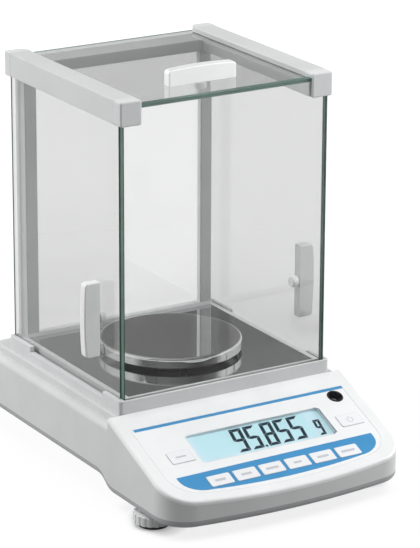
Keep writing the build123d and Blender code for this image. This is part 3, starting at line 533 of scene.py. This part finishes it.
def digit_outlines(digit, left, top, width, height, thick, gap):
    """Mitred seven-segment strokes of one digit, leaning to the right."""
    half, split = thick / 2, gap / 2
    right, middle, bottom = left + width, top + height / 2, top + height
    inner_left, inner_right = left + thick, right - thick

    def bar(v, v_in):
        return [
            (left + split, v), (right - split, v),
            (inner_right - split, v_in), (inner_left + split, v_in),
        ]

    def post(x, x_in, v0, v1, in0, in1):
        return [(x, v0 + split), (x_in, in0 + split), (x_in, in1 - split), (x, v1 - split)]

    strokes = {
        "a": bar(top, top + thick),
        "d": bar(bottom, bottom - thick),
        "f": post(left, inner_left, top, middle, top + thick, middle - half),
        "b": post(right, inner_right, top, middle, top + thick, middle - half),
        "e": post(left, inner_left, middle, bottom, middle + half, bottom - thick),
        "c": post(right, inner_right, middle, bottom, middle + half, bottom - thick),
        "g": [
            (left + split, middle),
            (inner_left + split, middle - half), (inner_right - split, middle - half),
            (right - split, middle),
            (inner_right - split, middle + half), (inner_left + split, middle + half),
        ],
    }
    lean = math.tan(math.radians(DIGIT_SLANT))
    return [[(x + (bottom - v) * lean, v) for x, v in strokes[s]] for s in SEGMENTS[digit]]


def rounded_polygon(points, radius, steps=5):
    """Polygon with its corners rounded."""
    out = []
    count = len(points)
    for i, p in enumerate(points):
        p = Vector(p)
        before = Vector(points[i - 1]) - p
        after = Vector(points[(i + 1) % count]) - p
        reach = min(radius, before.length / 2.2, after.length / 2.2)
        start = p + before.normalized() * reach
        end = p + after.normalized() * reach
        for k in range(steps + 1):
            t = k / steps
            out.append(tuple((1 - t) ** 2 * start + 2 * t * (1 - t) * p + t * t * end))
    return out


def rounded_box(x, v, width, height, radius):
    """Rounded rectangle about a middle point."""
    corners = [(-0.5, -0.5), (0.5, -0.5), (0.5, 0.5), (-0.5, 0.5)]
    return rounded_polygon([(x + a * width, v + b * height) for a, b in corners], radius)


def circle(x, v, radius, start=0.0, end=360.0, steps=32):
    """Points along a circle or a part of it, in degrees from +X towards the nose."""
    angles = [math.radians(start + (end - start) * i / steps) for i in range(steps + 1)]
    if end - start >= 360:
        angles.pop()
    return [(x + radius * math.cos(a), v + radius * math.sin(a)) for a in angles]


def frame_of(x, v, width, height, radius, line):
    """Closed line of a given width inside a rounded rectangle."""
    inner = rounded_box(x, v, width - 2 * line, height - 2 * line, max(radius - line, 0.1))
    return [rounded_box(x, v, width, height, radius), inner]


def display_digits():
    """The reading, with a point after its second digit, and its unit on the display's face."""
    size = (DIGIT_WIDTH, DIGIT_HEIGHT, DIGIT_STROKE, DIGIT_SPLIT)
    shapes = []
    for i, digit in enumerate(READING):
        left = DIGITS_LEFT + i * DIGIT_PITCH + (POINT_ROOM if i > 1 else 0)
        shapes += digit_outlines(digit, left, DIGITS_TOP, *size)
    point_x = DIGITS_LEFT + DIGIT_PITCH + DIGIT_WIDTH + POINT_OFF
    point_v = DIGITS_TOP + DIGIT_HEIGHT - POINT_RISE
    shapes.append(rounded_box(point_x, point_v, POINT_SIZE, POINT_SIZE, 0.5))
    unit_size = (UNIT_WIDTH, UNIT_HEIGHT, UNIT_STROKE, UNIT_SPLIT)
    shapes += digit_outlines("9", UNIT_LEFT, UNIT_TOP, *unit_size)
    printed("display_digits", [[s] for s in shapes], DISPLAY_FACE + PRINT, "segment_ink")


def display_surround():
    """Border inside the display, a dark line at the window's right side painted as the recess's shade,
    and its thin rim.
    """
    border = [rounded_box(*BORDER_OUTER), rounded_box(*BORDER_INNER)]
    printed("display_border", [border], DISPLAY_FACE, "display_border")
    right = WINDOW_X + WINDOW_WIDTH / 2
    top, low = WINDOW_V - WINDOW_HEIGHT / 2, WINDOW_V + WINDOW_HEIGHT / 2
    line = [(right + x, top + v) for x, v in CORNER_INNER]
    line += [(right + x, low - v) for x, v in CORNER_INNER[::-1] + CORNER_OUTER_LOW]
    line += [(right + x, top + v) for x, v in CORNER_OUTER_TOP]
    printed("window_painted_shade", [[line]], FILM_TOP, "painted_shade_slate")
    width, height = WINDOW_WIDTH + 2 * RIM_OUT, WINDOW_HEIGHT + 2 * RIM_OUT
    rim = frame_of(WINDOW_X, WINDOW_V, width, height, WINDOW_CORNER, RIM_LINE)
    printed("window_rim", [rim], FILM_TOP, "print_faint")


def bow(x):
    """How far the nose falls back at x, in millimetres."""
    return NOSE_BOW * (x / HALF_WIDTH) ** 2


def band_outline():
    """Blue band along the nose, with rounded ends and a bowed lower edge."""
    left, right = [], []
    for i in range(9):
        t = math.radians(90 * i / 8)
        out, down = BAND_CORNER * math.cos(t), math.sin(t)
        low = BAND_LOW - bow(BAND_RIGHT - BAND_CORNER)
        right.append((BAND_RIGHT - BAND_CORNER + out, BAND_SHOULDER + down * (low - BAND_SHOULDER)))
        low = BAND_LOW - bow(BAND_LEFT + BAND_CORNER)
        left.append((BAND_LEFT + BAND_CORNER - out, BAND_SHOULDER + down * (low - BAND_SHOULDER)))
    steps = 12
    first, last = right[-1][0], left[-1][0]
    along = [first + (last - first) * i / steps for i in range(1, steps)]
    lower = [(x, BAND_LOW - bow(x)) for x in along]
    return [(BAND_LEFT, BAND_TOP_LEFT), (BAND_RIGHT, BAND_TOP_RIGHT)] + right + lower + left[::-1]


def key_row():
    """Middle x of the six keys in the band."""
    return [KEY_ROW_X + (i - 2.5) * KEY_PITCH for i in range(6)]


def film_prints():
    """Blue line, blue band and the thin frames of the outer keys on the film."""
    line = rounded_box(LINE_X, LINE_V, LINE_LENGTH, LINE_WIDTH, 0.3)
    printed("print_line", [[line]], FILM_TOP, "print_blue")
    gap = 2 * KEY_GAP
    holes = [rounded_box(x, KEY_ROW_V, KEY_WIDTH + gap, KEY_HEIGHT + gap, KEY_CORNER) for x in key_row()]
    printed("print_band", [[band_outline()] + holes], FILM_TOP, "print_blue")
    width, height = SIDE_KEY_WIDTH + 2 * FRAME_OUT, SIDE_KEY_HEIGHT + 2 * FRAME_OUT
    outer_keys = (("left_key", LEFT_KEY_X, LEFT_KEY_V), ("power_key", POWER_KEY_X, POWER_KEY_V))
    for key, x, v in outer_keys:
        rim = frame_of(x, v, width, height, FRAME_CORNER, FRAME_LINE)
        printed(key + "_frame", [rim], FILM_TOP, "print_faint")


def key_prints():
    """Plain bars in the place of the keys' words, and the usual power sign."""
    for i, x in enumerate(key_row()):
        key = "key_%d" % (i + 1)
        bar = rounded_box(x, KEY_ROW_V, BAR_LENGTHS[i], BAR_HEIGHT, 0.9)
        printed(key + "_mark", [[bar]], KEY_TOP, "print_grey", key)
    bar = rounded_box(LEFT_KEY_X, LEFT_KEY_V, LEFT_BAR_LENGTH, LEFT_BAR_HEIGHT, 0.7)
    printed("left_key_mark", [[bar]], KEY_TOP, "print_grey", "left_key")
    x, v = POWER_KEY_X, POWER_KEY_V
    inner = circle(x, v, SIGN_RADIUS - SIGN_LINE, *SIGN_ARC)
    ring = circle(x, v, SIGN_RADIUS, *SIGN_ARC) + inner[::-1]
    stroke = rounded_box(x, v - SIGN_STROKE_RISE, SIGN_LINE, SIGN_STROKE, 0.25)
    printed("power_key_mark", [[ring], [stroke]], KEY_TOP, "print_grey", "power_key")


def level_bubble():
    """Pale ring and bubble seen in the level's black cup."""
    x, v = LEVEL_X, LEVEL_V
    ring = [circle(x, v, LEVEL_RING), circle(x, v, LEVEL_RING - LEVEL_LINE)]
    printed("level_ring", [ring], LEVEL_FLOOR, "print_faint")
    bubble = circle(x + BUBBLE_OFF[0], v + BUBBLE_OFF[1], BUBBLE_RADIUS)
    printed("level_bubble", [[bubble]], LEVEL_FLOOR, "print_grey")


# Stage

# Backdrop: white below the first height and grey above the second, by the direction's own Z
SKY_FADE = (0.12, 0.30)
# Its greys overhead, from the far left at 0 to the far right at 1
SKY_GREYS = ((0.20, 1.25), (0.40, 0.80), (0.69, 0.25), (0.78, 0.16), (0.84, 0.3), (0.92, 1.2))
# It is dark on the camera's side, against this way: where fully and where no more, and what is left
SKY_DARK_WAY = (0.6, 1, 0)
SKY_DARK_EDGE = (-0.75, -0.42)
SKY_DARK_SHARE = 0.15
AMBIENT = 0.125

FLOOR_HALF = 4.0
FLOOR_GREYS = ((0.33, 0.33, 0.33), (0.35, 0.35, 0.35))
FLOOR_WHITE = 1.13
# The floor's share of white near and far, and those distances from its middle in metres
FLOOR_SHARES = (0.84, 1.0)
FLOOR_REACH = (0.2, 0.6)
# The same close to the object: shares of white, by how open the floor is within the reach; this darkening
# is painted shade on top of the real shadow
CONTACT_SHARES = (0.35, 1.0)
CONTACT_OPEN = (0.25, 0.75)
CONTACT_REACH = 14 * MM
# In the object's metal the floor before the object stays dark, up to these edges
FLOOR_DARK_WAY = (0.35, 1, 0)
FLOOR_DARK_EDGE = (-0.24, -0.12)
FLOOR_DARK_REACH = (0.42, 0.55)

# Name, place, target, width and height in metres, watts, and whether surfaces mirror it
LAMPS = (
    ("overhead", (-0.3, 0.05, 2.2), (0, 0, 0.15), (1.8, 1.8), 32.5, False),
    ("left_fill", (-1.75, 1.8, 0.9), (0, 0, 0.15), (1.0, 1.2), 46.0, False),
    ("right_fill", (1.8, -0.5, 0.75), (0, 0, 0.15), (0.5, 0.8), 17.0, True),
    ("front_top", (0.12, -0.4, 0.52), (0.02, 0, 0.33), (0.25, 0.25), 0.5, False),
    ("right_key", (0.9, -0.5, 0.6), (0.1, 0, 0.2), (0.3, 0.3), 3.2, True),
)


def softbox(name, place, target, size, power, mirrored):
    """Rectangular lamp that the camera doesn't see."""
    data = bpy.data.lights.new(name, "AREA")
    data.shape = "RECTANGLE"
    data.size, data.size_y = size
    data.energy = power
    lamp = bpy.data.objects.new(name, data)
    bpy.context.scene.collection.objects.link(lamp)
    lamp.location = place
    lamp.visible_camera = False
    lamp.visible_transmission = False
    lamp.visible_glossy = mirrored
    lamp.rotation_euler = (Vector(target) - Vector(place)).to_track_quat("-Z", "Y").to_euler()


def seen_directly(t):
    """1 for camera, glossy and transmission rays, else 0."""
    path = t.add("LightPath")
    seen = t.larger(path.outputs["Is Camera Ray"], path.outputs["Is Glossy Ray"])
    return t.larger(seen, path.outputs["Is Transmission Ray"])


def make_world():
    """Backdrop that camera, gloss and glass see, and an even dim light on everything else."""
    world = bpy.data.worlds.new("studio")
    bpy.context.scene.world = world
    t = Tree(world, "OutputWorld")
    coords = t.add("TexCoord")
    split = t.add("SeparateXYZ")
    t.link(coords.outputs["Generated"], split.inputs["Vector"])
    across = t.spread(split.outputs["X"], 0.0, 1.0, -1.0, 1.0)
    upper = t.add("ValToRGB")
    stops = upper.color_ramp.elements
    for place, grey in SKY_GREYS:
        stop = stops.new(place)
        stop.color = (grey, grey, grey, 1)
    # A new ramp's own two stops, at its ends
    stops.remove(stops[0])
    stops.remove(stops[len(stops) - 1])
    t.link(across, upper.inputs["Fac"])
    aside = t.along(coords.outputs["Generated"], SKY_DARK_WAY)
    shaded = t.add("VectorMath", operation="SCALE")
    t.link(upper.outputs["Color"], shaded.inputs[0])
    t.link(t.spread(aside, SKY_DARK_SHARE, 1.0, *SKY_DARK_EDGE), shaded.inputs["Scale"])
    fade = t.add("Mix", data_type="RGBA")
    fade.inputs[6].default_value = (1, 1, 1, 1)
    t.link(t.spread(split.outputs["Z"], 0.0, 1.0, *SKY_FADE), fade.inputs[0])
    t.link(shaded.outputs["Vector"], fade.inputs[7])
    backdrop = t.add("Background")
    t.link(fade.outputs[2], backdrop.inputs["Color"])
    ambient = t.add("Background")
    ambient.inputs["Color"].default_value = (1, 1, 1, 1)
    ambient.inputs["Strength"].default_value = AMBIENT
    lights = (ambient.outputs["Background"], backdrop.outputs["Background"])
    t.show(t.chosen(seen_directly(t), *lights))


def floor_material():
    """White to the camera, with the object's shadow and a painted shade close round the object, and dark
    before it in the object's metal.
    """
    t = Tree(bpy.data.materials.new("floor"))
    diffuse = t.add("BsdfDiffuse")
    t.link(t.tones(t.noise(1.5, 2.0), *FLOOR_GREYS), diffuse.inputs["Color"])
    white = t.add("Emission")
    white.inputs["Strength"].default_value = FLOOR_WHITE
    coords = t.add("TexCoord")
    length = t.add("VectorMath", operation="LENGTH")
    t.link(coords.outputs["Object"], length.inputs[0])
    reach = length.outputs["Value"]
    # Ambient occlusion darkens the floor round the object: painted shade
    contact = t.add("AmbientOcclusion", samples=8)
    contact.inputs["Distance"].default_value = CONTACT_REACH
    path = t.add("LightPath")
    unmirrored = t.spread(path.outputs["Glossy Depth"], 1.0, 0.0, 0.0, 1.0)
    far = t.spread(reach, 0.0, 1.0, *FLOOR_DARK_REACH)
    beside = t.spread(t.along(coords.outputs["Object"], FLOOR_DARK_WAY), 0.0, 1.0, *FLOOR_DARK_EDGE)
    share = t.product(
        t.spread(reach, *FLOOR_SHARES, *FLOOR_REACH),
        t.spread(contact.outputs["AO"], *CONTACT_SHARES, *CONTACT_OPEN),
        t.larger(unmirrored, t.larger(far, beside)),
        seen_directly(t),
    )
    return t.show(t.chosen(share, diffuse.outputs["BSDF"], white.outputs["Emission"]))


def make_floor():
    """Plain pale floor."""
    mesh = bpy.data.meshes.new("floor")
    corners = [(x * FLOOR_HALF, y * FLOOR_HALF, 0) for x, y in ((-1, -1), (1, -1), (1, 1), (-1, 1))]
    mesh.from_pydata(corners, [], [(0, 1, 2, 3)])
    mesh.materials.append(floor_material())
    floor = bpy.data.objects.new("floor", mesh)
    bpy.context.scene.collection.objects.link(floor)


place_camera()
dress_nodes()
display_digits()
display_surround()
film_prints()
key_prints()
level_bubble()
make_world()
make_floor()
for lamp_facts in LAMPS:
    softbox(*lamp_facts)

scene = bpy.context.scene
scene.view_settings.view_transform = "Standard"
scene.cycles.transparent_max_bounces = 24
